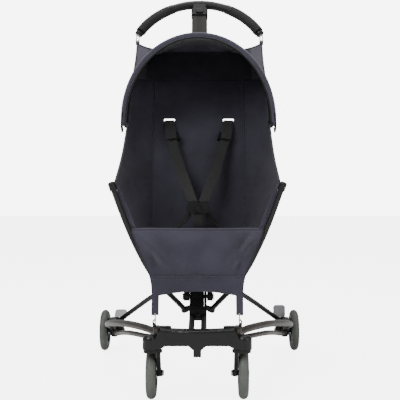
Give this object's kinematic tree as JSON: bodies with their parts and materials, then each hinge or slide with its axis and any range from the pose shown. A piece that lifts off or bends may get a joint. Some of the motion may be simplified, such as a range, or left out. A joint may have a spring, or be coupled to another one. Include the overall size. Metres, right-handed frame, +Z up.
{
  "type": "baby stroller",
  "caption": "Compact folding travel stroller: swivel caster front beam, bowed side rails, fabric sling seat with hood and harness, and a telescoping bow handle.",
  "frame": {"origin": "on the floor at the middle of the stroller's footprint", "axes": "+Z up, -Y towards the front wheels, +X to the viewer's right when facing the seat"},
  "size_m": [0.594, 0.652, 1.0531],
  "materials": {
    "beam_plastic": "satin black glass-filled nylon",
    "fork_plastic": "black glass-filled nylon",
    "frame_metal": "black-brown powder coat",
    "rail_metal": "warm grey metallic powder coat",
    "steel": "zinc plated steel",
    "tyre": "grey solid polyurethane",
    "wheel_plastic": "black nylon",
    "bearing_steel": "ground bearing steel",
    "bronze": "sintered bronze",
    "pedal": "light grey moulded plastic",
    "grip_foam": "black closed-cell foam",
    "grip_cover": "black soft plastic",
    "trim_plastic": "black moulded plastic",
    "wire": "bright wire",
    "seat_fabric": "slate woven polyester",
    "calf_fabric": "slate woven polyester",
    "webbing": "dark polyester webbing"
  },
  "bodies": {
    "chassis": {"front_beam": "beam_plastic", "chassis_pins": "steel", "keel_tubes": "frame_metal", "caster_bushes": "bronze", "hub_block": "fork_plastic", "strap_hooks": "wire", "calf_panel": "calf_fabric"},
    "column": {"column_foot": "fork_plastic", "column_tubes": "frame_metal", "arm_pins": "steel", "seat_back": "seat_fabric", "seat_pan": "seat_fabric", "harness_straps": "webbing", "strap_adjusters": "trim_plastic", "harness_buckle": "trim_plastic", "canopy_clips": "trim_plastic"},
    "handle": {"handle_stem": "frame_metal", "stem_fittings": "trim_plastic", "handle_core": "frame_metal", "centre_grip": "grip_cover", "side_grips": "grip_foam", "handle_caps": "trim_plastic", "corner_loops": "wire"},
    "release_button": {"release_button": "trim_plastic"},
    "fold_latch": {"fold_latch_button": "trim_plastic"},
    "buckle_button": {"buckle_button": "trim_plastic"},
    "canopy": {"canopy_fabric": "seat_fabric", "canopy_bow": "trim_plastic"},
    "caster_right": {"caster_fork_right": "fork_plastic", "caster_axle_right": "steel"},
    "front_wheel_right": {"front_tyre_right": "tyre", "front_wheel_core_right": "wheel_plastic", "front_bearings_right": "bearing_steel"},
    "rail_right": {"side_rail_right": "rail_metal"},
    "link_right": {"lower_link_right": "rail_metal"},
    "rear_unit_right": {"rear_bracket_right": "fork_plastic", "rear_axle_and_pins_right": "steel"},
    "rear_wheel_right": {"rear_tyre_right": "tyre", "rear_wheel_core_right": "wheel_plastic", "rear_bearings_right": "bearing_steel"},
    "pedal_right": {"brake_pedal_right": "pedal"},
    "leg_right": {"rear_leg_right": "frame_metal"},
    "arm_right": {"seat_arm_right": "frame_metal", "arm_tip_right": "trim_plastic"},
    "caster_left": {"caster_fork_left": "fork_plastic", "caster_axle_left": "steel"},
    "front_wheel_left": {"front_tyre_left": "tyre", "front_wheel_core_left": "wheel_plastic", "front_bearings_left": "bearing_steel"},
    "rail_left": {"side_rail_left": "rail_metal"},
    "link_left": {"lower_link_left": "rail_metal"},
    "rear_unit_left": {"rear_bracket_left": "fork_plastic", "rear_axle_and_pins_left": "steel"},
    "rear_wheel_left": {"rear_tyre_left": "tyre", "rear_wheel_core_left": "wheel_plastic", "rear_bearings_left": "bearing_steel"},
    "pedal_left": {"brake_pedal_left": "pedal"},
    "leg_left": {"rear_leg_left": "frame_metal"},
    "arm_left": {"seat_arm_left": "frame_metal", "arm_tip_left": "trim_plastic"}
  },
  "joints": [
    {"name": "fold", "type": "hinge", "parent": "chassis", "child": "column", "pos_m": [0, -0.1, 0.215], "axis": [-1, 0, 0], "range_deg": [0, 58], "deforming": ["seat_back", "seat_pan", "calf_panel", "harness_straps"]},
    {"name": "handle_slide", "type": "slide", "parent": "column", "child": "handle", "axis": [0, -0.4289, -0.9033], "range_m": [0, 0.33], "deforming": ["seat_back"]},
    {"name": "release_button_press", "type": "slide", "parent": "handle", "child": "release_button", "axis": [0, 0.9033, -0.4289], "range_m": [0, 0.0022], "stiffness_N_per_m": 400},
    {"name": "fold_latch_press", "type": "slide", "parent": "chassis", "child": "fold_latch", "axis": [0, 1, 0], "range_m": [0, 0.004], "stiffness_N_per_m": 500},
    {"name": "buckle_press", "type": "slide", "parent": "column", "child": "buckle_button", "axis": [0, 1, 0], "range_m": [0, 0.002], "stiffness_N_per_m": 300},
    {"name": "canopy_swing", "type": "hinge", "parent": "column", "child": "canopy", "pos_m": [0, -0.02, 0.657], "axis": [-1, 0, 0], "range_deg": [0, 50], "deforming": ["canopy_fabric"]},
    {"name": "caster_swivel_right", "type": "hinge", "parent": "chassis", "child": "caster_right", "pos_m": [0.107, -0.303, 0.1245], "axis": [0, 0, 1], "continuous": true},
    {"name": "front_wheel_spin_right", "type": "hinge", "parent": "caster_right", "child": "front_wheel_right", "pos_m": [0.107, -0.261, 0.06], "axis": [1, 0, 0], "continuous": true},
    {"name": "rail_swing_right", "type": "hinge", "parent": "chassis", "child": "rail_right", "pos_m": [0.092, -0.288, 0.159], "axis": [0, 0, 1], "range_deg": [0, 20]},
    {"name": "link_swing_right", "type": "hinge", "parent": "chassis", "child": "link_right", "pos_m": [0.088, -0.261, 0.142], "axis": [0, 0, 1], "range_deg": [0, 20]},
    {"name": "unit_turn_right", "type": "hinge", "parent": "rail_right", "child": "rear_unit_right", "pos_m": [0.256, 0.217, 0.084], "axis": [0, 0, 1], "range_deg": [-20, 0]},
    {"name": "rear_wheel_spin_right", "type": "hinge", "parent": "rear_unit_right", "child": "rear_wheel_right", "pos_m": [0.283, 0.271, 0.06], "axis": [1, 0, 0], "continuous": true},
    {"name": "brake_pedal_right", "type": "hinge", "parent": "rear_unit_right", "child": "pedal_right", "pos_m": [0.241, 0.288, 0.082], "axis": [-1, 0, 0], "range_deg": [0, 41]},
    {"name": "leg_turn_right", "type": "hinge", "parent": "rear_unit_right", "child": "leg_right", "pos_m": [0.238, 0.262, 0.092], "axis": [0.0612, 0.4357, 0.898], "range_deg": [0, 26.21]},
    {"name": "arm_turn_right", "type": "hinge", "parent": "column", "child": "arm_right", "pos_m": [0.033, -0.114, 0.184], "axis": [0.9103, 0.1901, -0.3677], "range_deg": [-37.88, 0]},
    {"name": "caster_swivel_left", "type": "hinge", "parent": "chassis", "child": "caster_left", "pos_m": [-0.107, -0.303, 0.1245], "axis": [0, 0, 1], "continuous": true},
    {"name": "front_wheel_spin_left", "type": "hinge", "parent": "caster_left", "child": "front_wheel_left", "pos_m": [-0.107, -0.261, 0.06], "axis": [1, 0, 0], "continuous": true},
    {"name": "rail_swing_left", "type": "hinge", "parent": "chassis", "child": "rail_left", "pos_m": [-0.092, -0.288, 0.159], "axis": [0, 0, 1], "range_deg": [-20, 0]},
    {"name": "link_swing_left", "type": "hinge", "parent": "chassis", "child": "link_left", "pos_m": [-0.088, -0.261, 0.142], "axis": [0, 0, 1], "range_deg": [-20, 0]},
    {"name": "unit_turn_left", "type": "hinge", "parent": "rail_left", "child": "rear_unit_left", "pos_m": [-0.256, 0.217, 0.084], "axis": [0, 0, 1], "range_deg": [0, 20]},
    {"name": "rear_wheel_spin_left", "type": "hinge", "parent": "rear_unit_left", "child": "rear_wheel_left", "pos_m": [-0.283, 0.271, 0.06], "axis": [1, 0, 0], "continuous": true},
    {"name": "brake_pedal_left", "type": "hinge", "parent": "rear_unit_left", "child": "pedal_left", "pos_m": [-0.241, 0.288, 0.082], "axis": [-1, 0, 0], "range_deg": [-41, 0]},
    {"name": "leg_turn_left", "type": "hinge", "parent": "rear_unit_left", "child": "leg_left", "pos_m": [-0.238, 0.262, 0.092], "axis": [-0.0612, 0.4357, 0.898], "range_deg": [-26.21, 0]},
    {"name": "arm_turn_left", "type": "hinge", "parent": "column", "child": "arm_left", "pos_m": [-0.033, -0.114, 0.184], "axis": [-0.9103, 0.1901, -0.3677], "range_deg": [0, 37.88]}
  ],
  "couplings": [
    {"joint": "rail_swing_right", "follows": "fold", "ratio": 0.34448},
    {"joint": "link_swing_right", "follows": "fold", "ratio": 0.34448},
    {"joint": "unit_turn_right", "follows": "fold", "ratio": -0.34448},
    {"joint": "leg_turn_right", "follows": "fold", "ratio": 0.45137},
    {"joint": "arm_turn_right", "follows": "fold", "ratio": -0.6525},
    {"joint": "rail_swing_left", "follows": "fold", "ratio": -0.34448},
    {"joint": "link_swing_left", "follows": "fold", "ratio": -0.34448},
    {"joint": "unit_turn_left", "follows": "fold", "ratio": 0.34448},
    {"joint": "leg_turn_left", "follows": "fold", "ratio": -0.45137},
    {"joint": "arm_turn_left", "follows": "fold", "ratio": 0.6525}
  ]
}
